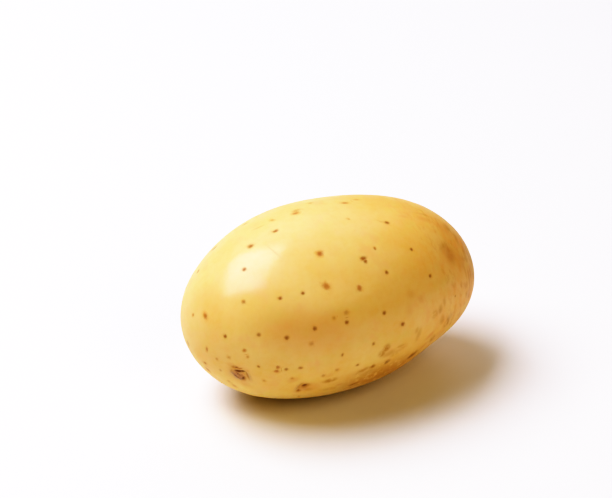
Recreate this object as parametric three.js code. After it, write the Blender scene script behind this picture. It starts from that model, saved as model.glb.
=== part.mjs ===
// A washed table potato lying on its side, modelled as the one solid that it grew as.
// Millimetres, +Z up. The long axis runs along X, with the stem scar near the -X end and the slimmer
// rose end at +X. The origin is the middle of the flat spot on the underside that the potato rests on.
import * as THREE from "three";
import { mergeVertices } from "three/addons/utils/BufferGeometryUtils.js";

// Driving dimensions of the plain oval that the swells and eyes are worked into.
const LENGTH = 98;
const WIDTH = 64;
const HEIGHT = 59;
const BLUNTNESS = 0.18; // 0 gives plain elliptical ends, more gives fuller ones
const TAPER = 0.06; // how much fuller the stem end is than the rose end
const FLAT_DEPTH = 0.55; // how much of the underside the flat spot takes away
const DETAIL = 18; // each face of the starting icosahedron is split into (DETAIL + 1) squared triangles

// Places on the potato are given by two angles seen from its middle: tip is the angle from the rose
// end's tip, and turn is the angle round the long axis, from the +Y side over the top.

// Broad swells and hollows of the flesh. rise is the height of the swell, negative for a hollow, and
// reach is how far it spreads.
const SWELLS = [
  { tip: 46, turn: 226, rise: -1.5, reach: 12 }, // hollow low on the front, near the rose end
  { tip: 15, turn: 190, rise: 0.6, reach: 13 }, // the rose end's nose
  { tip: 32, turn: 143, rise: -0.7, reach: 8 }, // dimple on the nose
  { tip: 148, turn: 30, rise: -1, reach: 18 }, // slope at the back of the stem end
  { tip: 152, turn: 235, rise: 0.3, reach: 14 }, // full heel low on the stem end
  { tip: 112, turn: 60, rise: 0.6, reach: 18 }, // the high point of the back
  { tip: 72, turn: 10, rise: -1.2, reach: 18 }, // long hollow behind
  { tip: 104, turn: 345, rise: 0.9, reach: 16 }, // the bulge beside it
];

// Eyes: shallow pits that the buds sit in. width is across the pit. They wind round the tuber and
// crowd together towards the rose end.
const EYES = [
  { tip: 155, turn: 203, depth: 0.6, width: 8 }, // the stem scar
  { tip: 130, turn: 204, depth: 0.5, width: 7 },
  { tip: 138, turn: 322, depth: 0.5, width: 7 },
  { tip: 112, turn: 262, depth: 0.6, width: 8 },
  { tip: 106, turn: 20, depth: 0.6, width: 8 },
  { tip: 82, turn: 318, depth: 0.7, width: 8 },
  { tip: 62, turn: 28, depth: 0.6, width: 8 },
  { tip: 52, turn: 274, depth: 0.7, width: 8 },
  { tip: 36, turn: 338, depth: 0.6, width: 7 },
  { tip: 22, turn: 40, depth: 0.5, width: 7 },
  { tip: 11, turn: 265, depth: 0.5, width: 7 },
];

/** The unit direction that a tip angle and a turn give. */
function directionOf({ tip, turn }) {
  const fromTip = THREE.MathUtils.degToRad(tip);
  const round = THREE.MathUtils.degToRad(turn);
  return new THREE.Vector3(
    Math.cos(fromTip),
    Math.sin(fromTip) * Math.cos(round),
    Math.sin(fromTip) * Math.sin(round),
  );
}

/** The plain oval's point for a point of the unit ball. */
function ovalPoint(ball) {
  const fullness = Math.sqrt(1 + BLUNTNESS * ball.x ** 2 - TAPER * ball.x);
  return new THREE.Vector3(
    (LENGTH / 2) * ball.x,
    (WIDTH / 2) * ball.y * fullness,
    (HEIGHT / 2) * ball.z * fullness,
  );
}

/** The same direction measured in lengths, widths and heights, as a unit vector. */
function inOvalUnits(direction) {
  const { x, y, z } = direction;
  return new THREE.Vector3(x / LENGTH, y / WIDTH, z / HEIGHT).normalize();
}

/** A place where the skin is raised or lowered, as a smooth bump of the given rise and reach. */
function strokeAt(place, rise, reach) {
  return { centre: ovalPoint(inOvalUnits(directionOf(place))), rise, reach };
}

const strokes = [
  ...SWELLS.map((swell) => strokeAt(swell, swell.rise, swell.reach)),
  ...EYES.map((eye) => strokeAt(eye, -eye.depth, eye.width / 2)),
];

/** The potato's skin for a point of the unit ball: the oval, moved along its normal by the strokes. */
function skinPoint(ball) {
  const plain = ovalPoint(ball);
  const rise = strokes.reduce((sum, stroke) => {
    const away = plain.distanceTo(stroke.centre) / stroke.reach;
    return sum + stroke.rise * Math.exp(-(away ** 2));
  }, 0);
  return plain.addScaledVector(inOvalUnits(ball), rise);
}

/** Presses the underside flat and moves the flat spot's middle to the origin. */
function setOnFlatSpot(geometry) {
  geometry.computeBoundingBox();
  const floor = geometry.boundingBox.min.z + FLAT_DEPTH;
  const position = geometry.getAttribute("position");
  const spot = new THREE.Box2();
  for (let i = 0; i < position.count; i++) {
    if (position.getZ(i) > floor) continue;
    position.setZ(i, floor);
    spot.expandByPoint(new THREE.Vector2(position.getX(i), position.getY(i)));
  }
  const middle = spot.getCenter(new THREE.Vector2());
  geometry.translate(-middle.x, -middle.y, -floor);
}

/** The whole tuber: a ball of even triangles, drawn out to the potato's skin. */
function tuberGeometry() {
  const ball = new THREE.IcosahedronGeometry(1, DETAIL);
  ball.deleteAttribute("normal");
  ball.deleteAttribute("uv");
  const geometry = mergeVertices(ball);
  const position = geometry.getAttribute("position");
  for (let i = 0; i < position.count; i++) {
    const { x, y, z } = skinPoint(new THREE.Vector3().fromBufferAttribute(position, i).normalize());
    position.setXYZ(i, x, y, z);
  }
  setOnFlatSpot(geometry);
  geometry.computeVertexNormals();
  return geometry;
}

const skin = new THREE.MeshStandardMaterial({ color: 0xe2b35e, roughness: 0.45, metalness: 0 });
const tuber = new THREE.Mesh(tuberGeometry(), skin);
tuber.name = "tuber";

const potato = new THREE.Group();
potato.add(tuber);

export default potato;
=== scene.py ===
"""A washed yellow table potato on a pale studio floor.

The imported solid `tuber` gives the potato's shape, size and place. This script grows the same potato
with a fine skin over it: shallow eyes, a corky stem scar, lenticels, scuffs and a streaked rose end.
Lengths in the classes are millimetres, like the potato's own sizes, and `MM` turns them into metres.
"""

import logging
import math
from dataclasses import dataclass, field
from enum import Enum

import bpy
import numpy as np
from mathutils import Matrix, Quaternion, Vector


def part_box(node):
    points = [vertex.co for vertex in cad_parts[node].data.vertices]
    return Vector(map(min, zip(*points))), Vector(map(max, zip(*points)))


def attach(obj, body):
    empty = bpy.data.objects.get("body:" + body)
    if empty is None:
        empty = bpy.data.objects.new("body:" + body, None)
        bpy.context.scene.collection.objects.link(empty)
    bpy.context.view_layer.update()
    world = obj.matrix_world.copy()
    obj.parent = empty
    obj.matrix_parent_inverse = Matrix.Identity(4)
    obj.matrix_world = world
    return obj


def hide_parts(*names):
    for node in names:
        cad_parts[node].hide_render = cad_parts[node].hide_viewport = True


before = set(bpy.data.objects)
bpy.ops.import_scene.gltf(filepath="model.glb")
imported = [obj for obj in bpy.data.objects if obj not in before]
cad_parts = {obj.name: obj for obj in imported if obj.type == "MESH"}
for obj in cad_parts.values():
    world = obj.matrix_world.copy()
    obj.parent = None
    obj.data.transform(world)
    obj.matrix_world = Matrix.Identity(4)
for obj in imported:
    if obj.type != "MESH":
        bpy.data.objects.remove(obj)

MM = 0.001  # metres in a millimetre
STROKE_FADE = 0.7  # how fast a stroke fades towards its edge
STROKE_EDGE = 1.5  # how full it stays in its middle
LEAST_RELIEF = 1e-4  # millimetres; a vertex that would move less stays
MOST_TILT = 18  # how far an eye may lean, in degrees

Colour = tuple[float, float, float, float]
Socket = bpy.types.NodeSocket

log = logging.getLogger("potato")


class Tone(Enum):
    """The colour that a brush stroke leaves on the skin, named after the layer it is painted on."""

    BARK = "bark"  # dark brown, in cracks and pits
    CORK = "cork"  # dull pinkish brown, on healed ridges
    BLUSH = "blush"  # warm pinkish orange, round eyes and sores, and painted shade in broad patches
    RUST = "rust"  # orange brown, where the skin was rubbed


class Speck(Enum):
    """The look of a lenticel: how dark its core is, how strong its ring is, and how red it is."""

    DARK = (1.0, 0.5, 0.15)
    PLAIN = (0.8, 0.45, 0.3)
    RED = (0.8, 0.9, 0.85)
    RINGED = (0.95, 1.0, 0.5)
    FAINT = (0.42, 0.7, 0.5)


BARK, CORK, BLUSH, RUST = Tone
DARK, PLAIN, RED, RINGED, FAINT = Speck


@dataclass(frozen=True)
class Place:
    """A place on the skin, seen from the potato's middle.

    tip is the angle in degrees from the rose end's tip, which points along +X, and turn is the angle
    in degrees round the long axis, from the +Y side over the top.
    """

    tip: float
    turn: float

    def direction(self) -> Vector:
        """The unit direction from the potato's middle to the place."""
        tip, turn = math.radians(self.tip), math.radians(self.turn)
        return Vector((math.cos(tip), math.sin(tip) * math.cos(turn), math.sin(tip) * math.sin(turn)))


@dataclass(frozen=True)
class Lenticel:
    """A breathing pore of the skin: a small corky dot in a soft ring.

    width and length are the core's size across and along lean, the angle in degrees from the
    potato's long axis.
    """

    place: Place
    width: float
    look: Speck = PLAIN
    stretch: float = 1.0
    lean: float = 0.0


@dataclass(frozen=True)
class Stroke:
    """One soft brush stroke on the skin, measured from the middle of the patch that it belongs to.

    along is towards the rose end and around is round the potato, in the way that turn grows. lean is
    the angle of the stroke's length from the long axis. rise lifts the skin under it, or sinks it.
    """

    along: float
    around: float
    length: float
    width: float
    lean: float = 0.0
    tone: Tone = RUST
    strength: float = 0.0
    rise: float = 0.0


@dataclass(frozen=True)
class Patch:
    """A group of strokes round one place, and how finely the skin's mesh is cut there."""

    place: Place
    strokes: tuple[Stroke, ...]
    reach: float
    cuts: int = 1


def eye_patch(place: Place, span: float, depth: float, strength: float) -> Patch:
    """A resting eye: a shallow cup under a bent brow, with a dark, corky bud in it.

    Args:
        place: where the eye is.
        span: the cup's length round the potato.
        depth: how deep the cup is.
        strength: how strongly the eye is coloured, from 0 to 1.

    Returns:
        The patch, with its brow on the side of the stem end.
    """
    tilt = MOST_TILT * math.sin(place.tip + place.turn)  # no two eyes lean alike
    brow = [
        Stroke(
            along=-span * (0.15 - 0.12 * side * side),
            around=span * 0.2 * side,
            length=span * (0.3 + 0.06 * side),
            width=span * 0.1,
            lean=90 + tilt - 34 * side,
            tone=BARK,
            strength=strength * (0.85 - 0.3 * abs(side)),
            rise=-0.14,
        )
        for side in (-1.0, 0.0, 1.0)
    ]
    bud = [
        Stroke(0.25, -span * 0.03, span * 0.2, span * 0.15, tilt, CORK, strength * 0.9, 0.2),
        Stroke(0.1, span * 0.12, span * 0.15, span * 0.1, 40, BARK, strength, -0.12),
        Stroke(0.7, -span * 0.1, span * 0.13, span * 0.09, -30, BARK, strength * 0.8, -0.1),
    ]
    cup = [
        Stroke(0, 0, span * 0.85, span * 0.6, 90 + tilt, BLUSH, strength * 0.7, -depth),
        Stroke(0.1, 0, span * 0.5, span * 0.34, 90 + tilt, RUST, strength * 0.75),
        Stroke(-span * 0.27, 0, span * 0.6, span * 0.12, 90 + tilt, CORK, strength * 0.3, 0.14),
    ]
    return Patch(place, tuple(brow + bud + cup), reach=span * 0.6)


# The stem scar, where the tuber hung on its root: a cracked, half healed knot of cork.
STEM_SCAR = Patch(Place(155.3, 204), reach=5.6, cuts=2, strokes=(
    Stroke(0.4, 0.5, 8, 7.5, 20, BLUSH, 0.5, -0.3),
    Stroke(0.1, 0.4, 5.6, 5, 30, RUST, 0.42),
    Stroke(-3, -2.2, 2.6, 1.8, -20, BLUSH, 0.6),
    Stroke(2.6, 4.2, 4, 3, 30, BLUSH, 0.5),
    Stroke(-1.6, -1.7, 2.4, 1.43, -22, RUST, 1, -0.15),
    Stroke(-1.3, -1.6, 1, 0.7, -22, BARK, 0.6, -0.06),
    Stroke(-0.5, -0.3, 2, 0.95, -6, BARK, 1, -0.3),
    Stroke(0.6, -0.9, 2, 0.75, -32, BARK, 0.95, -0.25),
    Stroke(-0.2, -1.8, 2.2, 0.72, -50, RUST, 0.9, -0.1),
    Stroke(2.1, -2.3, 1.6, 1.1, -30, BLUSH, 0.8, 0.06),
    Stroke(1.35, 0.05, 1.3, 1.2, 30, BLUSH, 0.95, 0.14),
    Stroke(-0.4, 1.7, 3.6, 2.6, 28, CORK, 0.8, 0.1),
    Stroke(-1.1, 1.3, 2.6, 1.30, 26, CORK, 1, 0.2),
    Stroke(-0.3, 2.3, 2.6, 0.91, 30, CORK, 1, 0.2),
    Stroke(-0.7, 1.8, 2.6, 0.45, 28, BARK, 0.6, -0.16),
    Stroke(-0.2, 0.85, 1.8, 0.45, 34, BARK, 0.55, -0.12),
    Stroke(0.75, 1, 1.4, 1.56, 40, RUST, 1, -0.2),
    Stroke(1.9, 1.9, 1.2, 2.20, -20, RUST, 1, -0.12),
    Stroke(1.7, 2.3, 0.7, 1.3, -10, BARK, 0.7, -0.3),
    Stroke(1, 2.5, 1.4, 1.30, 20, CORK, 1, 0.1),
    Stroke(2.65, 0.05, 3.5, 0.78, 61, RUST, 0.9, -0.12),
    Stroke(3.3, -0.1, 3.5, 0.78, 60, CORK, 0.35, 0.1),
    Stroke(-2.4, 0.6, 0.8, 2.20, 0, RUST, 0.6),
))

# The small eye beside it, low on the front: a dark pit under a bent brow.
LOW_EYE = Patch(Place(129.5, 208), reach=4.6, cuts=2, strokes=(
    Stroke(1.6, 0.6, 7, 5, 0, BLUSH, 0.6, -0.3),
    Stroke(0.8, -0.1, 3.1, 2.34, -25, RUST, 0.9, -0.14),
    Stroke(0.65, 0, 1.4, 0.9, -25, BARK, 0.95, -0.24),
    Stroke(-0.6, -0.9, 2.1, 1.04, 108, RUST, 0.65, -0.06),
    Stroke(-0.85, 0.8, 2.4, 1.17, 92, RUST, 0.8, -0.1),
    Stroke(-0.65, 2.7, 1.7, 1.56, 70, RUST, 1, -0.12),
    Stroke(-0.7, 2.6, 0.8, 0.6, 70, BARK, 0.7, -0.08),
    Stroke(-1.7, 0.6, 4, 1.04, 98, CORK, 0.4, 0.14),
    Stroke(0.6, 1.6, 2, 2.08, 0, CORK, 0.2, 0.2),
    Stroke(2.4, 2, 2.6, 1.82, 10, RUST, 0.35),
))

# Eyes on the sides that face away, winding round the tuber and crowding towards the rose end.
RESTING_EYES = (
    eye_patch(Place(138, 322), 7.0, 0.25, 0.75),
    eye_patch(Place(112, 262), 8.0, 0.25, 0.7),
    eye_patch(Place(106, 20), 8.5, 0.3, 0.8),
    eye_patch(Place(82, 318), 8.5, 0.3, 0.85),
    eye_patch(Place(62, 28), 8.0, 0.3, 0.8),
    eye_patch(Place(52, 274), 8.0, 0.25, 0.75),
    eye_patch(Place(36, 338), 7.0, 0.25, 0.8),
    eye_patch(Place(22, 40), 6.5, 0.2, 0.7),
    eye_patch(Place(11, 265), 6.0, 0.2, 0.7),
)

# Rubbed and scratched skin, mostly low on the front towards the rose end; also broad darker bands low on
# the front, a band of painted shade below the middle of the front, and painted shade on the stem end's
# edge.
SCUFFS = (
    Patch(Place(86, 190), reach=4.5, strokes=(
        Stroke(-0.2, -1.5, 2.8, 2.2, -50, RUST, 1, -0.05),
        Stroke(-1.6, 0.2, 2.2, 2.4, -20, RUST, 0.85),
        Stroke(1, 1.1, 4.8, 2.2, -8, RUST, 0.5),
        Stroke(5.3, -0.3, 3, 1, 0, RUST, 0.55),
        Stroke(6.3, 0.9, 3.7, 0.9, -16, RUST, 0.4),
        Stroke(3.6, 2, 4.6, 1.8, -22, RUST, 0.4),
    )),
    Patch(Place(90, 198.5), reach=5.5, strokes=(
        Stroke(-1.9, 0.2, 2.2, 2, -30, RUST, 1, -0.06),
        Stroke(-1.8, 0.1, 1, 1, -30, BARK, 0.5),
        Stroke(3.2, 0.3, 2.8, 2.4, -20, RUST, 1, -0.06),
        Stroke(3.3, 0.3, 1.8, 1.4, -20, BARK, 0.55),
        Stroke(-5.6, 0.8, 5.1, 1.8, -24, RUST, 0.75),
        Stroke(-3, 2.6, 6.9, 2.4, -20, RUST, 0.6),
        Stroke(1.8, 3.6, 6.9, 3.3, -10, RUST, 0.65),
    )),
    Patch(Place(66, 205.5), reach=5, strokes=(
        Stroke(0.6, -0.6, 5.1, 3.4, -24, RUST, 1, -0.05),
        Stroke(0.4, -0.4, 3.4, 2, -24, BARK, 0.55),
        Stroke(-4, 1, 5.3, 2.7, -14, RUST, 0.8),
        Stroke(-3, -2.4, 3.7, 0.9, -18, RUST, 0.5),
        Stroke(5, -2.6, 4, 1.2, -30, BLUSH, 0.8),
    )),
    # Two broad bands low on the front, near the floor, make the skin there darker and browner.
    Patch(Place(88, 209), (Stroke(0, 0, 30, 9, -2, BLUSH, 0.2),), reach=1, cuts=0),
    Patch(Place(84, 212), (Stroke(0, 0, 27, 12, 0, RUST, 0.85),), reach=1, cuts=0),
    Patch(Place(117.1, 202.8), reach=3, strokes=(
        Stroke(0, 0, 4.1, 2, -12, RUST, 0.95, -0.05),
        Stroke(-1, -2.6, 3, 1.6, -30, BLUSH, 0.5),
    )),
    Patch(Place(111, 209.2), reach=2, strokes=(
        Stroke(0, 0, 2.2, 0.9, -12, BLUSH, 0.9),
        Stroke(-2, 2, 5.8, 2.4, -8, RUST, 0.5),
    )),
    Patch(Place(100.5, 213.5), reach=3, strokes=(
        Stroke(0, 0, 5.3, 2.7, -20, RUST, 1, -0.05),
        Stroke(-0.6, 0.4, 2.3, 1.2, -20, BARK, 0.4),
    )),
    # Painted shade: a broad warmer, darker band below the middle of the front, where the shading falls
    # between the lit top and the light from the floor.
    Patch(Place(128, 166.5), (Stroke(0, 0, 28, 12, 14, BLUSH, 0.5),), reach=1, cuts=0),
    Patch(Place(128.8, 79.3), (Stroke(0, 0, 3.6, 0.6, 14, RUST, 0.4),), reach=2),
    Patch(Place(132.1, 107.5), (Stroke(0, 0, 5.6, 0.5, 78, RUST, 0.3),), reach=3),
    # Painted shade: darkens the stem end's edge, which the lamps light brightly.
    Patch(Place(172, 150), (Stroke(0, 0, 20, 20, 0, BLUSH, 0.32),), reach=1, cuts=0),
    Patch(Place(134.5, 200.2), (Stroke(0, 0, 3.2, 2.4, -30, BLUSH, 0.7),), reach=1.5, cuts=0),
    Patch(Place(64.9, 186.9), (Stroke(0, 0, 1.6, 4.4, 14, RUST, 0.45),), reach=2.6),
    Patch(Place(66.5, 183), (Stroke(0, 0, 1.3, 2.1, 20, RUST, 0.4),), reach=1.4),
    Patch(Place(69.8, 164), reach=2, cuts=0, strokes=(
        Stroke(0.8, -2.2, 2.8, 2.4, 0, BLUSH, 0.5),
        Stroke(-0.6, 2.6, 2.6, 4, 0, BLUSH, 0.4),
        Stroke(4.4, 0.3, 1.6, 2.6, 0, BLUSH, 0.5),
    )),
    Patch(Place(51, 182), reach=6.5, strokes=(
        Stroke(0.5, -2.6, 1.8, 2.6, 10, RUST, 0.6),
        Stroke(-2, -2, 2.4, 2.5, -20, RUST, 0.55),
        Stroke(2.6, -4.4, 1.3, 3, 0, RUST, 0.4),
        Stroke(1.6, 1.6, 2.2, 3.2, -14, RUST, 0.5),
        Stroke(4.2, 4.6, 2.2, 2.5, -10, RUST, 0.65),
        Stroke(-3, 5.4, 3.6, 1.6, -30, BLUSH, 0.9),
        Stroke(-1.2, 7.8, 2.4, 3, -20, RUST, 0.8),
    )),
    Patch(Place(44, 191), reach=4, strokes=(
        Stroke(0, 0, 1.5, 3.7, -10, RUST, 0.8),
        Stroke(2.4, 1.4, 1.4, 3, 0, RUST, 0.7),
        Stroke(1, -1.6, 2.7, 2.3, 0, CORK, 0.3),
    )),
    Patch(Place(65, 112), (Stroke(0, -0.2, 3.9, 0.8, 40, RUST, 0.4),), reach=2),
    Patch(Place(39.3, 110.3), reach=3, cuts=0, strokes=(
        Stroke(0, 0, 4.4, 2.2, 20, BLUSH, 0.6),
        Stroke(-7.6, -1, 3, 1.4, 10, BLUSH, 0.5),
        Stroke(1, -2.6, 5.8, 0.9, 10, RUST, 0.35),
    )),
    Patch(Place(34.1, 143.3), reach=2, cuts=0, strokes=(
        Stroke(0, 0, 7, 6, 30, BLUSH, 0.7, -0.12),
        Stroke(0, 0.2, 4.4, 4.8, 10, RUST, 0.38),
        Stroke(-2.4, -2.6, 4.6, 2.4, -30, RUST, 0.35),
        Stroke(4.4, 2.6, 4.4, 5.4, 10, BLUSH, 0.7),
    )),
    Patch(Place(27, 116), reach=3, strokes=(
        Stroke(0, 0, 3, 2.8, 0, RUST, 0.6),
        Stroke(-3, 1, 4.6, 3.6, 20, BLUSH, 0.6),
        Stroke(2.6, 3.4, 1.8, 4.6, 0, RUST, 0.4),
    )),
    Patch(Place(21, 140), reach=5, strokes=(
        Stroke(0, -2, 1.2, 5.8, 6, CORK, 0.26, 0.05),
        Stroke(1.4, 1, 1, 5.8, 0, RUST, 0.6, -0.04),
        Stroke(-1.6, 2.6, 1.8, 5.8, 0, RUST, 0.4),
        Stroke(3, 4, 1.5, 4.6, -6, RUST, 0.5),
    )),
    Patch(Place(22, 166), reach=5, strokes=(
        Stroke(-0.6, 0, 1.5, 5.1, 0, CORK, 0.3, 0.07),
        Stroke(0.6, 0.4, 0.8, 5.3, 0, RUST, 0.6, -0.04),
        Stroke(-1.8, 0.6, 0.8, 4.6, 0, RUST, 0.6, -0.03),
        Stroke(1.8, 2, 1.5, 4.1, 0, CORK, 0.24, 0.05),
        Stroke(-3.4, 1.2, 1.2, 5.8, 0, RUST, 0.45),
        Stroke(-5.2, -1, 0.9, 4.6, 0, RUST, 0.35),
    )),
    Patch(Place(29, 181), reach=2.6, strokes=(
        Stroke(0, 0, 1.8, 2.8, 20, CORK, 0.28, 0.05),
        Stroke(1.2, 1.4, 0.9, 2.1, 0, RUST, 0.7),
        Stroke(-1.4, -0.6, 0.8, 2.8, 0, RUST, 0.6),
    )),
    Patch(Place(92, 290), (Stroke(0, 0, 10.3, 3, 15, RUST, 0.6),), reach=2, cuts=0),
    Patch(Place(70, 345), (Stroke(0, 0, 5.8, 0.9, 60, RUST, 0.7),), reach=3),
    Patch(Place(125, 350), (Stroke(0, 0, 4.6, 1.8, -30, RUST, 0.7),), reach=2.5),
    Patch(Place(140, 260), (Stroke(0, 0, 9.2, 4.5, -10, RUST, 0.5),), reach=2, cuts=0),
)


def lenticel(tip: float, turn: float, width: float, look: Speck, *shape: float) -> Lenticel:
    """A lenticel from its two angles, its width in millimetres, its look and, at will, its shape.

    Args:
        tip: angle in degrees from the rose end's tip.
        turn: angle in degrees round the long axis.
        width: width of the core.
        look: how dark, ringed and red it is.
        shape: how many times longer than wide it is, and which way it leans.

    Returns:
        The lenticel.
    """
    return Lenticel(Place(tip, turn), width, look, *shape)


# The lenticels of the upper and front sides, from the stem end to the rose end.
LENTICELS = (
    lenticel(169, 190, 0.8, RED, 1.8, 80),
    lenticel(167.5, 231, 1, RED, 1.3, 90),
    lenticel(167.3, 127.5, 1.4, RINGED, 1.3, 80),
    lenticel(164.3, 197, 0.9, FAINT),
    lenticel(161.8, 214, 0.8, FAINT),
    lenticel(160.7, 161.8, 1.1, DARK),
    lenticel(159.6, 187, 1, FAINT),
    lenticel(157, 226, 0.9, FAINT),
    lenticel(153.8, 175.6, 1, RED),
    lenticel(151, 134.5, 1.2, PLAIN),
    lenticel(152.6, 181.5, 0.8, FAINT),
    lenticel(148.5, 189.5, 0.9, PLAIN),
    lenticel(148, 162.5, 1.1, PLAIN),
    lenticel(146, 109.5, 1.3, DARK),
    lenticel(145.5, 203.5, 0.9, FAINT),
    lenticel(141.6, 192, 1, RED, 1.4, 0),
    lenticel(141.3, 188.4, 1.1, RED),
    lenticel(138.5, 93, 1.6, DARK, 1.2, 0),
    lenticel(138, 190.2, 1.1, PLAIN),
    lenticel(137.6, 167, 1.3, DARK),
    lenticel(137.3, 141.3, 1.1, DARK),
    lenticel(135, 198.5, 0.9, FAINT),
    lenticel(132.2, 189.2, 1, PLAIN, 1.3, 0),
    lenticel(127.6, 142.4, 1, DARK),
    lenticel(127.6, 173, 1.3, FAINT),
    lenticel(125.6, 164.2, 1.2, DARK),
    lenticel(125, 92, 1.3, DARK, 1.5, 0),
    lenticel(121.3, 197.3, 1.1, FAINT),
    lenticel(121, 79, 1.2, FAINT),
    lenticel(116, 142.3, 1.8, RED, 1.3, 60),
    lenticel(115.8, 160.8, 0.9, FAINT),
    lenticel(114.8, 194, 1, FAINT),
    lenticel(112.8, 183.7, 0.8, PLAIN, 1.4, 100),
    lenticel(112.5, 122, 1.8, RINGED),
    lenticel(109.6, 164.9, 1.2, DARK),
    lenticel(109, 159.6, 1.3, FAINT),
    lenticel(108.3, 82.3, 1.4, RED, 1.4, 0),
    lenticel(106, 79, 1.2, FAINT, 1.6, 0),
    lenticel(103.5, 193.7, 1, PLAIN),
    lenticel(98.5, 148.5, 1.4, RED, 1.3, 90),
    lenticel(95, 181.6, 0.9, PLAIN, 1.2, 90),
    lenticel(94, 74, 1.2, FAINT),
    lenticel(89.8, 132.7, 1.3, DARK, 1.5, 0),
    lenticel(89.3, 134.8, 1.2, DARK),
    lenticel(87.1, 165.4, 1.2, DARK),
    lenticel(84, 103, 0.8, FAINT),
    lenticel(80, 128.5, 0.8, PLAIN, 1.3, 90),
    lenticel(79.3, 144.2, 1, DARK, 1.2, 90),
    lenticel(76, 84.5, 1.4, RED, 1.4, 0),
    lenticel(76, 175.3, 1.3, DARK),
    lenticel(67, 81.5, 1.1, FAINT, 1.5, 0),
    lenticel(63, 112, 1.2, DARK, 1.2, 30),
    lenticel(58.3, 134.4, 1, DARK),
    lenticel(53.3, 153.3, 1.1, DARK),
    lenticel(39.5, 173.8, 0.6, PLAIN),
)


@dataclass(frozen=True)
class Scatter:
    """Lenticels for the sides that face away, scattered with a fixed seed.

    The scattered ones keep apart from each other and out of the sides that LENTICELS covers.
    """

    count: int = 95
    tries: int = 4000  # how many places are drawn at most
    apart: float = 7.0
    potato_radius: float = 36.0  # a rough one, which turns angles into distances
    seed: int = 41
    covered_turns: tuple[float, float] = (66.0, 220.0)
    covered_tips: tuple[float, float] = (18.0, 172.0)

    def covers(self, place: Place) -> bool:
        """Whether a place lies on the sides whose lenticels are listed one by one."""
        (low, high), (near, far) = self.covered_turns, self.covered_tips
        return low < place.turn < high and near < place.tip < far

    def lenticels(self) -> list[Lenticel]:
        """Draws the scattered lenticels.

        Returns:
            The lenticels, the same ones in every run.
        """
        draw = np.random.default_rng(self.seed)
        looks = (DARK, PLAIN, RED, RINGED, FAINT)
        share = (0.3, 0.25, 0.15, 0.06, 0.24)
        closest = self.apart / self.potato_radius
        kept: list[Lenticel] = []
        for _ in range(self.tries):
            if len(kept) == self.count:
                break
            height, turn = draw.uniform(-1, 1), draw.uniform(0, 360)
            place = Place(math.degrees(math.acos(height)), turn)
            width = draw.uniform(0.7, 1.5)
            look = looks[draw.choice(len(looks), p=share)]
            shape = draw.uniform(1.0, 1.5), draw.uniform(0, 180)
            way = place.direction()
            far_off = all(way.angle(other.place.direction()) > closest for other in kept)
            if far_off and not self.covers(place):
                kept.append(Lenticel(place, width, look, *shape))
        return kept


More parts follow.
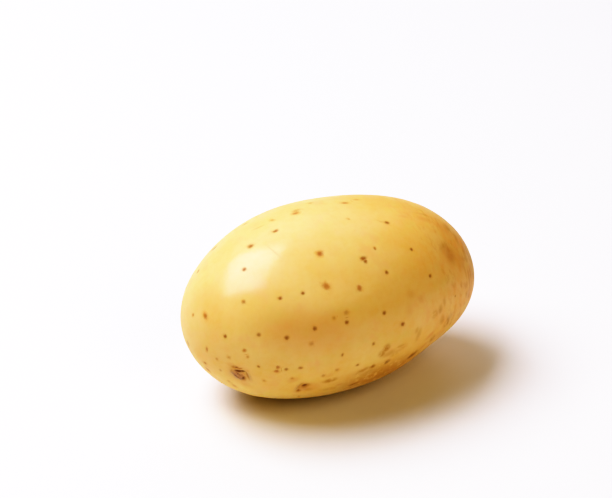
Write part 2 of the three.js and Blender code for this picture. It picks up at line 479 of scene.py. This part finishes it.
class NodeDesk:
    """A small desk for laying out a node tree, one node at a time."""

    def __init__(self, tree: bpy.types.NodeTree) -> None:
        """Clears a tree and starts it with the piece's own coordinates.

        Args:
            tree: the tree to work on.
        """
        self.tree = tree
        tree.nodes.clear()
        self.where = self.add("ShaderNodeTexCoord").outputs["Object"]

    def add(self, kind: str, inputs: dict | None = None, **settings: object) -> bpy.types.Node:
        """Adds a node.

        Args:
            kind: the node's type name.
            inputs: values or sockets for its inputs, by name or number.
            settings: the node's own properties.

        Returns:
            The node.
        """
        node = self.tree.nodes.new(kind)
        for name, value in settings.items():
            setattr(node, name, value)
        for key, value in (inputs or {}).items():
            self.feed(node.inputs[key], value)
        return node

    def feed(self, socket: Socket, value: object) -> None:
        """Gives an input its value.

        Args:
            socket: the input.
            value: a socket to link to it, or a plain value to set it to.
        """
        if isinstance(value, Socket):
            self.tree.links.new(value, socket)
        else:
            socket.default_value = value

    def calc(self, operation: str, *values: object, clamp: bool = False) -> Socket:
        """Does a sum.

        Args:
            operation: the Math node's operation.
            values: what it works on.
            clamp: whether the result is kept from 0 to 1.

        Returns:
            The result.
        """
        node = self.add("ShaderNodeMath", dict(enumerate(values)), operation=operation)
        node.use_clamp = clamp
        return node.outputs[0]

    def times(self, one: object, other: object) -> Socket:
        """The product of two values."""
        return self.calc("MULTIPLY", one, other)

    def sway(self, noise: Socket, amount: float) -> Socket:
        """A noise turned into a number that comes and goes by half an amount either way."""
        return self.calc("MULTIPLY_ADD", noise, amount, -amount / 2)

    def fade(self, value: object, start: float, end: float) -> Socket:
        """Makes a smooth step.

        Args:
            value: what it follows.
            start: the value at which it is 0.
            end: the value at which it is 1.

        Returns:
            The step, from 0 to 1.
        """
        inputs = {"Value": value, "From Min": start, "From Max": end}
        node = self.add("ShaderNodeMapRange", inputs, interpolation_type="SMOOTHSTEP")
        return node.outputs["Result"]

    def noise(self, size: float, detail: float = 2.0, rough: float = 0.5,
              stretch: tuple[float, float, float] = (1.0, 1.0, 1.0)) -> Socket:
        """Makes noise from 0 to 1 over the skin.

        Args:
            size: the size of its lumps, in millimetres.
            detail: how many finer layers it has.
            rough: how strong those layers are.
            stretch: how many times longer its lumps are along each axis.

        Returns:
            The noise's factor.
        """
        scale = tuple(1.0 / (size * MM * s) for s in stretch)
        place = self.add("ShaderNodeMapping", {"Vector": self.where, "Scale": scale})
        inputs = {"Vector": place.outputs[0], "Scale": 1.0, "Detail": detail, "Roughness": rough}
        return self.add("ShaderNodeTexNoise", inputs).outputs[0]

    def mix(self, factor: object, low: object, high: object) -> Socket:
        """Mixes two colours.

        Args:
            factor: how much there is of the second, from 0 to 1.
            low: the first colour.
            high: the second colour.

        Returns:
            The colour between them.
        """
        node = self.add("ShaderNodeMix", data_type="RGBA", clamp_factor=True)
        self.feed(node.inputs["Factor"], factor)
        self.feed(node.inputs[6], low)  # 6 and 7 are its two colours, and output 2 is the mixed one
        self.feed(node.inputs[7], high)
        return node.outputs[2]

    def length(self, vector: object) -> Socket:
        """The length of a vector."""
        return self.add("ShaderNodeVectorMath", {0: vector}, operation="LENGTH").outputs["Value"]

    def split(self, vector: object) -> list[Socket]:
        """The three parts of a vector."""
        return list(self.add("ShaderNodeSeparateXYZ", {0: vector}).outputs)

    def layer(self, name: str, output: str = "Fac") -> Socket:
        """A painted layer of the mesh, as a number or a vector."""
        node = self.add("ShaderNodeAttribute", attribute_name=name, attribute_type="GEOMETRY")
        return node.outputs[output]


@dataclass(frozen=True)
class SkinFinish:
    """The washed skin's colours, as linear red, green, blue and alpha, with a painted sheen on its upper
    side, and its gloss and grain.
    """

    pale: Colour = (0.81, 0.563, 0.175, 1)
    # the painted sheen's colour: the upper side towards the stem end is lightened towards it
    painted_sheen_colour: Colour = (0.84, 0.61, 0.24, 1)
    golden: Colour = (0.78, 0.475, 0.09, 1)
    olive: Colour = (0.74, 0.54, 0.12, 1)
    rosy: Colour = (0.80, 0.44, 0.14, 1)
    orange: Colour = (0.80, 0.37, 0.055, 1)
    bark: Colour = (0.24, 0.085, 0.008, 1)
    cork: Colour = (0.45, 0.24, 0.12, 1)
    # the blush colour, which also paints shade
    blush: Colour = (0.70, 0.31, 0.06, 1)
    rust: Colour = (0.50, 0.205, 0.012, 1)
    core: Colour = (0.33, 0.13, 0.009, 1)
    red_core: Colour = (0.48, 0.165, 0.016, 1)
    ring: Colour = (0.70, 0.34, 0.05, 1)
    painted_sheen_share: float = 0.36  # how far the painted sheen on the upper side goes towards its paler colour
    painted_sheen_top: tuple[float, float] = (20 * MM, 56 * MM)  # the heights between which the painted sheen comes in
    olive_share: float = 0.6
    rosy_share: float = 0.55
    scurf_share: float = 0.34  # how rusty the rose end's netting is
    blush_and_shade_share: float = 0.7
    rust_share: float = 0.9
    ring_share: float = 0.6
    core_share: float = 0.92
    rose_start: float = 0.1  # where the rose end's colour comes in, as a share of the heel's way
    crack_rags: float = 0.5  # how ragged a crack's edge is
    core_rags: float = 0.9  # how ragged a lenticel's core is, in core radii
    ring_drift: float = 3.0  # how far its ring may sit off it, in core radii
    gloss: float = 0.58
    smears: float = 0.12  # how far the gloss comes and goes
    dull: float = 0.66
    skin_ior: float = 1.45
    bloom: float = 0.45  # the broad sheen of dry skin
    wax: float = 0.1  # the sharper gleam on top of it
    wax_roughness: float = 0.22
    wax_ior: float = 2.8
    flesh_glow: float = 0.5
    glow_depth: float = 4.0 * MM
    glow_spread: tuple[float, float, float] = (1.0, 0.45, 0.12)  # red light goes in furthest
    relief_strength: float = 0.6
    relief_depth: float = 0.6 * MM
    grain: float = 0.06  # the heights of the relief's parts, as shares of its depth
    wrinkles: float = 0.12
    crumbs: float = 0.25
    pits: float = 0.05

    def material(self, nose: float, heel: float) -> bpy.types.Material:
        """Makes the skin material.

        Args:
            nose: how far the rose end's tip is along X, in metres.
            heel: how far the stem end is along X, in metres.

        Returns:
            The material.
        """
        skin = bpy.data.materials.new("washed_skin")
        skin.use_nodes = True
        desk = NodeDesk(skin.node_tree)
        along, _, up = desk.split(desk.where)
        rose = desk.fade(along, heel * self.rose_start, nose)
        # Painted sheen: the skin is made paler high up and towards the stem end, where the lamps above
        # light it.
        painted_sheen_top = desk.times(desk.fade(up, *self.painted_sheen_top), desk.fade(along, nose, heel))

        colour = self._flesh(desk, rose)
        colour = desk.mix(desk.times(painted_sheen_top, self.painted_sheen_share), colour, self.painted_sheen_colour)
        colour, marks = self._marks(desk, colour)
        colour, pores = self._lenticels(desk, colour)
        spoiled = desk.calc("MAXIMUM", marks, pores, clamp=True)
        wax = desk.calc("MULTIPLY_ADD", spoiled, -self.wax, self.wax)  # none on marks and pores

        inputs = {
            "Base Color": colour,
            "Roughness": self._roughness(desk, spoiled),
            "Normal": self._relief(desk, rose, marks, pores),
            "IOR": self.skin_ior,
            "Specular IOR Level": self.bloom,
            "Coat Weight": wax,
            "Coat Roughness": self.wax_roughness,
            "Coat IOR": self.wax_ior,
            "Subsurface Weight": self.flesh_glow,
            "Subsurface Radius": self.glow_spread,
            "Subsurface Scale": self.glow_depth,
        }
        shader = desk.add("ShaderNodeBsdfPrincipled", inputs)
        desk.add("ShaderNodeOutputMaterial", {"Surface": shader.outputs[0]})
        return skin

    def _flesh(self, desk: NodeDesk, rose: Socket) -> Socket:
        """Colours the clean skin: yellow, mottled with gold, and streaked orange at the rose end.

        Args:
            desk: the material's node desk.
            rose: how near the rose end is, from 0 to 1.

        Returns:
            The colour.
        """
        broad = desk.fade(desk.noise(22), 0.38, 0.66)
        fine = desk.fade(desk.noise(2.6, 4.0, 0.65), 0.35, 0.75)
        mottle = desk.calc("MULTIPLY_ADD", fine, 0.4, desk.times(broad, 0.55))
        colour = desk.mix(mottle, self.pale, self.golden)
        green = desk.fade(desk.noise(8.5, 3.0, 0.55, (1.3, 1.0, 1.0)), 0.52, 0.74)
        colour = desk.mix(desk.times(green, self.olive_share), colour, self.olive)
        pink = desk.fade(desk.noise(7.5, 3.0, 0.6, (1.0, 1.4, 1.0)), 0.53, 0.75)
        colour = desk.mix(desk.times(pink, self.rosy_share), colour, self.rosy)
        streaks = desk.fade(desk.noise(1.5, 4.0, 0.7, (1.0, 2.8, 2.8)), 0.46, 0.66)
        clouds = desk.fade(desk.noise(6.5, 3.0, 0.6), 0.4, 0.66)
        tan = desk.calc("MULTIPLY_ADD", streaks, 0.3, desk.calc("MULTIPLY_ADD", clouds, 0.4, 0.3))
        colour = desk.mix(desk.times(tan, rose), colour, self.orange)
        netting = desk.times(streaks, desk.fade(desk.noise(4.5), 0.42, 0.6))
        scurf = desk.times(netting, desk.fade(rose, 0.4, 0.85))
        return desk.mix(desk.times(scurf, self.scurf_share), colour, self.rust)

    def _marks(self, desk: NodeDesk, colour: Socket) -> tuple[Socket, Socket]:
        """Paints the brush strokes' layers over a colour.

        Args:
            desk: the material's node desk.
            colour: the colour under them.

        Returns:
            The colour with them, and where they are.
        """
        ragged = desk.noise(2.0, 3.0, 0.55)
        crumbs = desk.noise(0.45, 3.0, 0.6)
        # The blush layer: warm orange round eyes and sores, and painted shade.
        blush = desk.times(desk.layer(BLUSH.value), self.blush_and_shade_share)
        colour = desk.mix(blush, colour, self.blush)
        worn = desk.times(desk.layer(RUST.value), desk.fade(ragged, 0.22, 0.52))
        colour = desk.mix(desk.times(worn, self.rust_share), colour, self.rust)
        healed = desk.times(desk.layer(CORK.value), desk.fade(crumbs, 0.2, 0.6))
        colour = desk.mix(healed, colour, self.cork)
        edge = desk.sway(crumbs, self.crack_rags)
        crack = desk.fade(desk.calc("ADD", desk.layer(BARK.value), edge), 0.0, 0.95)
        crack = desk.times(crack, desk.fade(desk.layer(BARK.value), 0.02, 0.15))
        colour = desk.mix(crack, colour, self.bark)
        rough = desk.calc("MAXIMUM", crack, desk.calc("MAXIMUM", healed, worn))
        return colour, rough

    def _lenticels(self, desk: NodeDesk, colour: Socket) -> tuple[Socket, Socket]:
        """Paints the lenticels over a colour: a ragged core in a drifting ring.

        Args:
            desk: the material's node desk.
            colour: the colour under them.

        Returns:
            The colour with them, and where their cores are.
        """
        across, sideways, far = desk.split(desk.layer("lenticel", "Vector"))
        darkness, ring_strength, redness = desk.split(desk.layer("lenticel_look", "Vector"))
        flat = desk.add("ShaderNodeCombineXYZ", {0: across, 1: sideways}).outputs[0]
        wobble = desk.sway(desk.noise(0.6), self.core_rags)
        away = desk.calc("ADD", desk.length(flat), wobble)
        near = desk.fade(far, 3.4, 2.4)
        drift = desk.sway(desk.noise(2.2, 1.0), self.ring_drift)
        stray = desk.add("ShaderNodeVectorMath", {0: flat, 1: drift}, operation="ADD").outputs[0]
        halo = desk.fade(desk.calc("ADD", desk.length(stray), wobble), 2.5, 0.6)
        ring = desk.times(halo, desk.times(near, ring_strength))
        close = desk.fade(far, 2.2, 1.7)
        dark = desk.times(close, darkness)
        core = desk.times(desk.fade(away, 1.6, 0.2), dark)
        colour = desk.mix(desk.times(ring, self.ring_share), colour, self.ring)
        dot = desk.mix(redness, self.core, self.red_core)
        return desk.mix(desk.times(core, self.core_share), colour, dot), core

    def _roughness(self, desk: NodeDesk, spoiled: Socket) -> Socket:
        """Makes the roughness: waxy on clean skin, with faint smears, and dull on spoiled skin.

        Args:
            desk: the material's node desk.
            spoiled: where marks and lenticels are.

        Returns:
            The roughness.
        """
        shine = self.gloss - self.smears / 2
        smear = desk.calc("MULTIPLY_ADD", desk.noise(5, 3.0), self.smears, shine)
        return desk.calc("MULTIPLY_ADD", spoiled, self.dull - self.gloss, smear)

    def _relief(self, desk: NodeDesk, rose: Socket, marks: Socket, pores: Socket) -> Socket:
        """Makes the finest relief: a faint grain, wrinkles at the rose end, and crumbly marks.

        Args:
            desk: the material's node desk.
            rose: how near the rose end is, from 0 to 1.
            marks: where the marks are.
            pores: where the lenticels' cores are.

        Returns:
            The skin's bent normal.
        """
        grain = desk.times(desk.noise(0.7, 3.0, 0.6), self.grain)
        wrinkle = desk.noise(0.8, 3.0, 0.55, (1.0, 6.0, 6.0))
        height = desk.calc("MULTIPLY_ADD", desk.times(wrinkle, rose), self.wrinkles, grain)
        crumbs = desk.times(desk.noise(0.35, 3.0, 0.6), marks)
        height = desk.calc("MULTIPLY_ADD", crumbs, self.crumbs, height)
        height = desk.calc("MULTIPLY_ADD", pores, -self.pits, height)
        depth = {"Strength": self.relief_strength, "Distance": self.relief_depth}
        return desk.add("ShaderNodeBump", {"Height": height, **depth}).outputs[0]


@dataclass(frozen=True)
class Spot:
    """A point of the skin, with its normal and its ways along and around the potato."""

    point: np.ndarray
    normal: np.ndarray
    along: np.ndarray
    around: np.ndarray


@dataclass
class Potato:
    """The whole potato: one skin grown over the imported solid, with all its marks."""

    node: str = "tuber"
    cuts: int = 24  # how many times each side of the starting cube is cut across
    smoothings: int = 2  # how many times the grown cage is subdivided
    lumps: float = 0.28  # how far the flesh swells and sinks between its broad forms
    lump_size: float = 15.0
    dimples: float = 0.05  # how deep the skin's small unevenness is
    dimple_size: float = 3.6
    stroke_depth: float = 6.0  # how far off the skin's plane at a patch its strokes still paint
    pore_depth: float = 0.09
    pore_slope: float = 1.1  # how wide a pore's hollow is, in core radii
    pore_ground: float = 6.0  # how far out a lenticel counts, in core radii
    pore_cut: float = 0.9  # how far out the mesh is cut finer, in core widths
    finish: SkinFinish = field(default_factory=SkinFinish)
    patches: tuple[Patch, ...] = (STEM_SCAR, LOW_EYE, *RESTING_EYES, *SCUFFS)
    scatter: Scatter = field(default_factory=Scatter)
    low: Vector = field(init=False)  # the lowest corner of the solid's box
    high: Vector = field(init=False)  # its highest corner
    piece: bpy.types.Object = field(init=False)
    lenticels: list[Lenticel] = field(init=False)
    pores: list[Spot] = field(init=False)  # where each lenticel is
    grounds: list[Spot] = field(init=False)  # where each patch is

    def build(self) -> bpy.types.Object:
        """Grows, marks and dresses the potato, and hands it to the frame.

        Returns:
            The finished piece.
        """
        low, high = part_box(self.node)
        self.low, self.high = Vector(low), Vector(high)
        self.piece = self._cage()
        self._fit_to_solid()
        self._swell("flesh_lumps", self.lump_size, self.lumps)
        self._swell("skin_dimples", self.dimple_size, self.dimples)
        self.lenticels = [*LENTICELS, *self.scatter.lenticels()]
        self.pores = [self._spot(mark.place) for mark in self.lenticels]
        self.grounds = [self._spot(patch.place) for patch in self.patches]
        self._refine()
        self._paint_patches()
        self._paint_lenticels()
        self._settle()
        bpy.ops.object.shade_smooth()
        self.piece.data.materials.clear()
        self.piece.data.materials.append(self.finish.material(self.high.x, self.low.x))
        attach(self.piece, "root")
        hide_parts(self.node)
        return self.piece

    @property
    def middle(self) -> Vector:
        """The middle of the solid's box."""
        return (self.low + self.high) / 2

    def _cage(self) -> bpy.types.Object:
        """Cuts a cube into even squares and rounds it into an oval of the potato's size.

        Returns:
            The oval.
        """
        bpy.ops.object.select_all(action="DESELECT")
        bpy.ops.mesh.primitive_cube_add(size=1, location=self.middle)
        piece = bpy.context.object
        piece.name = piece.data.name = "potato"
        bpy.ops.object.mode_set(mode="EDIT")
        bpy.ops.mesh.subdivide(number_cuts=self.cuts)
        bpy.ops.object.mode_set(mode="OBJECT")
        self._modify(piece, "CAST", cast_type="SPHERE", factor=1.0)
        reach = max(corner.co.length for corner in piece.data.vertices)
        bpy.ops.transform.resize(value=(self.high - self.low) / (2 * reach))
        bpy.ops.object.transform_apply(location=True, rotation=True, scale=True)
        return piece

    def _fit_to_solid(self) -> None:
        """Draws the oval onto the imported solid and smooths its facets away."""
        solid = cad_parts[self.node]
        levels = {"levels": self.smoothings, "render_levels": self.smoothings}
        self._modify(self.piece, "SHRINKWRAP", target=solid, wrap_method="NEAREST_SURFACEPOINT")
        self._modify(self.piece, "SMOOTH", factor=0.3, iterations=2)
        self._modify(self.piece, "SUBSURF", **levels)

    def _modify(self, piece: bpy.types.Object, kind: str, **settings: object) -> None:
        """Gives a piece a modifier and applies it.

        Args:
            piece: the piece, which is the active object.
            kind: the modifier's type.
            settings: the modifier's own properties.
        """
        modifier = piece.modifiers.new(kind.lower(), kind)
        for name, value in settings.items():
            setattr(modifier, name, value)
        bpy.ops.object.modifier_apply(modifier=modifier.name)

    def _swell(self, name: str, size: float, height: float) -> None:
        """Moves the skin in and out with soft clouds.

        Args:
            name: what the clouds are called.
            size: their size.
            height: how far the skin moves from its lowest to its highest, at most.
        """
        clouds = bpy.data.textures.new(name, "CLOUDS")
        clouds.noise_scale = size * MM
        clouds.noise_depth = 1
        amount = {"strength": height * MM, "mid_level": 0.5}
        self._modify(self.piece, "DISPLACE", texture=clouds, texture_coords="LOCAL", **amount)
        bpy.data.textures.remove(clouds)

    def _spot(self, place: Place) -> Spot:
        """Finds a place on the skin.

        Args:
            place: the place.

        Returns:
            The skin's point there, with its directions.

        Raises:
            ValueError: if there is no skin there.
        """
        hit, point, normal, _ = self.piece.ray_cast(self.middle, place.direction())
        if not hit:
            raise ValueError(f"no skin at {place}")
        rose_way = Vector((1, 0, 0))
        along = (rose_way - normal * rose_way.dot(normal)).normalized()
        return Spot(*map(np.array, (point, normal, along, along.cross(normal))))

    def _refine(self) -> None:
        """Cuts the mesh finer round every patch and lenticel."""
        fine = [(spot, patch.reach, patch.cuts) for spot, patch in zip(self.grounds, self.patches)]
        fine += [(spot, mark.width * self.pore_cut, 1) for spot, mark in zip(self.pores, self.lenticels)]
        for level in (1, 2):
            self._subdivide_near([(spot, reach / level) for spot, reach, cuts in fine if cuts >= level])

    def _subdivide_near(self, chosen: list[tuple[Spot, float]]) -> None:
        """Subdivides the faces near some spots.

        Args:
            chosen: the spots, each with how far its faces reach, in millimetres.
        """
        faces = self.piece.data.polygons
        centres = read_vectors(faces, "center")
        picked = np.zeros(len(faces), dtype=bool)
        for spot, reach in chosen:
            picked |= np.linalg.norm(centres - spot.point, axis=1) < reach * MM
        bpy.ops.object.mode_set(mode="EDIT")
        bpy.ops.mesh.select_all(action="DESELECT")
        bpy.ops.mesh.select_mode(type="FACE")
        bpy.ops.object.mode_set(mode="OBJECT")
        faces.foreach_set("select", picked)
        bpy.ops.object.mode_set(mode="EDIT")
        bpy.ops.mesh.subdivide(number_cuts=1)
        bpy.ops.object.mode_set(mode="OBJECT")

    def _paint_patches(self) -> None:
        """Paints each patch's strokes on their layers and works their relief into the skin."""
        places = read_vectors(self.piece.data.vertices, "co")
        layers = {tone: np.zeros(len(places)) for tone in Tone}
        relief = np.zeros(len(places))
        for spot, patch in zip(self.grounds, self.patches):
            offset = (places - spot.point) / MM
            facing = np.abs(offset @ spot.normal) < self.stroke_depth
            for stroke in patch.strokes:
                mask = stroke_mask(stroke, offset @ spot.along, offset @ spot.around) * facing
                layer = layers[stroke.tone]
                np.maximum(layer, mask * stroke.strength, out=layer)
                relief += mask * stroke.rise
        self._relieve("hollows", np.clip(-relief, 0, None), -1)
        self._relieve("ridges", np.clip(relief, 0, None), 1)
        for tone, values in layers.items():
            self._layer(tone.value, "FLOAT", "value", values)

    def _paint_lenticels(self) -> None:
        """Stores, at each vertex, where it lies from the nearest lenticel and how that one looks."""
        places = read_vectors(self.piece.data.vertices, "co")
        nearest = np.full(len(places), self.pore_ground)
        offsets = np.zeros((len(places), 3))
        looks = np.zeros((len(places), 3))
        for spot, mark in zip(self.pores, self.lenticels):
            offset = (places - spot.point) / (mark.width * MM / 2)
            length, width = turned(offset @ spot.along, offset @ spot.around, mark.lean)
            far = np.linalg.norm(offset, axis=1) / mark.stretch
            won = far < nearest
            offsets[won] = np.column_stack((length / mark.stretch, width, far))[won]
            looks[won] = mark.look.value
            nearest[won] = far[won]
        offsets[:, 2] = nearest
        hollow = np.exp(-(nearest / self.pore_slope) ** 2) * looks[:, 0] * self.pore_depth
        self._relieve("pores", hollow, -1)
        self._layer("lenticel", "FLOAT_VECTOR", "vector", offsets)
        self._layer("lenticel_look", "FLOAT_VECTOR", "vector", looks)

    def _relieve(self, name: str, height: np.ndarray, way: int) -> None:
        """Moves the skin out or in.

        Args:
            name: what the relief is called.
            height: how far each vertex moves, in millimetres.
            way: 1 for out, or -1 for in.
        """
        tallest = float(height.max())
        group = self.piece.vertex_groups.new(name=name)
        for index in np.flatnonzero(height > LEAST_RELIEF):
            group.add([int(index)], float(height[index] / tallest), "REPLACE")
        amount = {"strength": way * tallest * MM, "mid_level": 0.0}
        self._modify(self.piece, "DISPLACE", vertex_group=name, **amount)
        self.piece.vertex_groups.clear()

    def _layer(self, name: str, kind: str, part: str, values: np.ndarray) -> None:
        """Stores one value or vector at each vertex."""
        layer = self.piece.data.attributes.new(name, kind, "POINT")
        layer.data.foreach_set(part, values.astype(np.float32).ravel())

    def _settle(self) -> None:
        """Presses whatever hangs below the floor flat onto it."""
        places = read_vectors(self.piece.data.vertices, "co")
        places[:, 2] = np.maximum(places[:, 2], self.low.z)
        self.piece.data.vertices.foreach_set("co", places.ravel())
        self.piece.data.update()


def read_vectors(items: bpy.types.bpy_prop_collection, name: str) -> np.ndarray:
    """Reads a vector of every vertex or face.

    Args:
        items: the mesh's vertices or faces.
        name: which vector.

    Returns:
        One row for each of them.
    """
    values = np.empty(len(items) * 3, dtype=np.float64)
    items.foreach_get(name, values)
    return values.reshape(-1, 3)


def turned(along: np.ndarray, around: np.ndarray, lean: float) -> tuple[np.ndarray, np.ndarray]:
    """Turns distances on the skin into a mark's own length and width.

    Args:
        along: each vertex's distance towards the rose end.
        around: the same, round the potato.
        lean: the angle in degrees of the mark's length from the long axis.

    Returns:
        The distances along the mark and across it.
    """
    cos, sin = math.cos(math.radians(lean)), math.sin(math.radians(lean))
    return along * cos + around * sin, around * cos - along * sin


def stroke_mask(stroke: Stroke, along: np.ndarray, around: np.ndarray) -> np.ndarray:
    """Works out how much of a stroke each vertex gets.

    Args:
        stroke: the stroke.
        along: each vertex's distance from the patch's middle towards the rose end.
        around: the same, round the potato.

    Returns:
        The share at each vertex, 1 in the stroke's middle and soft at its edge.
    """
    length, width = turned(along - stroke.along, around - stroke.around, stroke.lean)
    far = (length / (stroke.length / 2)) ** 2 + (width / (stroke.width / 2)) ** 2
    return np.exp(-STROKE_FADE * far**STROKE_EDGE)


def outward(turn: float, rise: float) -> Vector:
    """Finds the direction from the potato to something that stands round it.

    Args:
        turn: how far round it is, in degrees from the -Y side.
        rise: how high it is, in degrees above the floor.

    Returns:
        The unit direction.
    """
    turn, rise = math.radians(turn), math.radians(rise)
    level = math.cos(rise)
    return Vector((math.sin(turn) * level, -math.cos(turn) * level, math.sin(rise)))


@dataclass(frozen=True)
class Lamp:
    """A rectangular soft lamp, placed as the camera sees it, with lengths in metres.

    swing is how far round from straight behind the potato it hangs, in degrees to the right, and rise
    is how high, in degrees above the floor. roll turns the lamp round the line to the potato.
    """

    name: str
    swing: float
    rise: float
    distance: float
    width: float
    height: float
    power: float
    colour: tuple[float, float, float] = (1.0, 1.0, 1.0)
    roll: float = 0.0

    def hang(self, target: Vector, azimuth: float) -> bpy.types.Object:
        """Hangs the lamp and points it at a target.

        Args:
            target: the point that it lights.
            azimuth: the camera's turn round the potato, in degrees.

        Returns:
            The lamp.
        """
        towards = outward(azimuth - self.swing + 180, self.rise)
        light = bpy.data.lights.new(self.name, "AREA")
        light.shape = "RECTANGLE"
        light.size, light.size_y = self.width, self.height
        light.energy = self.power
        light.color = self.colour
        lamp = bpy.data.objects.new(self.name, light)
        lamp.location = target + towards * self.distance
        facing = towards.to_track_quat("Z", "Y")
        lamp.rotation_euler = (facing @ Quaternion((0, 0, 1), math.radians(self.roll))).to_euler()
        bpy.context.scene.collection.objects.link(lamp)
        return lamp


@dataclass(frozen=True)
class Studio:
    """The pale floor, the soft light, the camera and the print's contrast."""

    floor_size: float = 6.0
    floor_colour: Colour = (0.895, 0.86, 0.765, 1)
    floor_roughness: float = 0.9
    room_colour: Colour = (1.0, 0.78, 0.3, 1)
    room_strength: float = 0.1
    azimuth: float = -30.0  # the camera's turn round the potato, in degrees
    elevation: float = 30.0
    distance: float = 0.7
    lens: float = 132.0  # in millimetres
    film: float = 36.0  # the film's width, in millimetres
    aim_right: float = -7.2 * MM  # where the camera looks, from the potato's middle
    aim_up: float = 13.6 * MM
    contrast: float = 1.0  # 0 leaves the greys alone
    curve_steps: int = 8
    gamma: float = 2.2
    lamps: tuple[Lamp, ...] = (
        Lamp("key_softbox", -80, 60, 1.2, 1.05, 0.82, 16.8, (0.905, 0.96, 1.28), -8.0),
        Lamp("back_softbox", 4, 46, 1.2, 1.0, 0.7, 1.9, (1.0, 0.97, 1.35)),
        Lamp("warm_filler", 138, 40, 1.2, 0.7, 0.7, 3.2, (1.0, 0.85, 0.6)),
    )

    def build(self) -> None:
        """Sets up floor, lamps, room light, camera and contrast."""
        low, high = map(Vector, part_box("tuber"))
        middle = (low + high) / 2
        self._floor(low.z)
        for lamp in self.lamps:
            lamp.hang(middle, self.azimuth)
        self._room()
        self._camera(middle)
        self._print()

    def _floor(self, level: float) -> None:
        """Lays a wide, matt, nearly white floor.

        Args:
            level: its height.
        """
        bpy.ops.object.select_all(action="DESELECT")
        bpy.ops.mesh.primitive_plane_add(size=self.floor_size, location=(0, 0, level))
        floor = bpy.context.object
        floor.name = "studio_floor"
        paper = bpy.data.materials.new("floor_paper")
        paper.use_nodes = True
        shader = paper.node_tree.nodes["Principled BSDF"]
        shader.inputs["Base Color"].default_value = self.floor_colour
        shader.inputs["Roughness"].default_value = self.floor_roughness
        floor.data.materials.append(paper)

    def _room(self) -> None:
        """Adds a weak warm light from all round."""
        world = bpy.data.worlds.new("studio_room")
        bpy.context.scene.world = world
        world.use_nodes = True
        back = world.node_tree.nodes["Background"]
        back.inputs["Color"].default_value = self.room_colour
        back.inputs["Strength"].default_value = self.room_strength

    def _camera(self, middle: Vector) -> None:
        """Sets up a long lens at the height and turn that show the potato's front and stem end.

        Args:
            middle: the potato's middle.
        """
        back = outward(self.azimuth, self.elevation)
        turn = math.radians(self.azimuth)
        right = Vector((math.cos(turn), math.sin(turn), 0))
        aim = middle + right * self.aim_right + back.cross(right) * self.aim_up
        data = bpy.data.cameras.new("camera")
        data.lens, data.sensor_width = self.lens, self.film
        camera = bpy.data.objects.new("camera", data)
        camera.location = middle + back * self.distance
        camera.rotation_euler = (aim - camera.location).to_track_quat("-Z", "Y").to_euler()
        bpy.context.scene.collection.objects.link(camera)
        bpy.context.scene.camera = camera

    def _print(self) -> None:
        """Darkens the dark greys and lightens the light ones, and leaves black and white alone."""
        view = bpy.context.scene.view_settings
        view.view_transform = "Standard"
        view.use_curve_mapping = True
        curve = view.curve_mapping.curves[3]  # the one that all three colours share
        for step in range(1, self.curve_steps):
            grey = step / self.curve_steps
            bent = grey + self.contrast * grey * (1 - grey) * (2 * grey - 1)
            curve.points.new(grey**self.gamma, bent**self.gamma)
        view.curve_mapping.update()


def main() -> None:
    """Builds the potato and its studio, and reports each piece."""
    logging.basicConfig(level=logging.INFO, format="%(name)s: %(message)s")
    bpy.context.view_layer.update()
    piece = Potato().build()
    mesh = piece.data
    mesh.calc_loop_triangles()
    log.info("%s: %d faces, %d triangles", piece.name, len(mesh.polygons), len(mesh.loop_triangles))
    Studio().build()


if __name__ == "__main__":
    main()
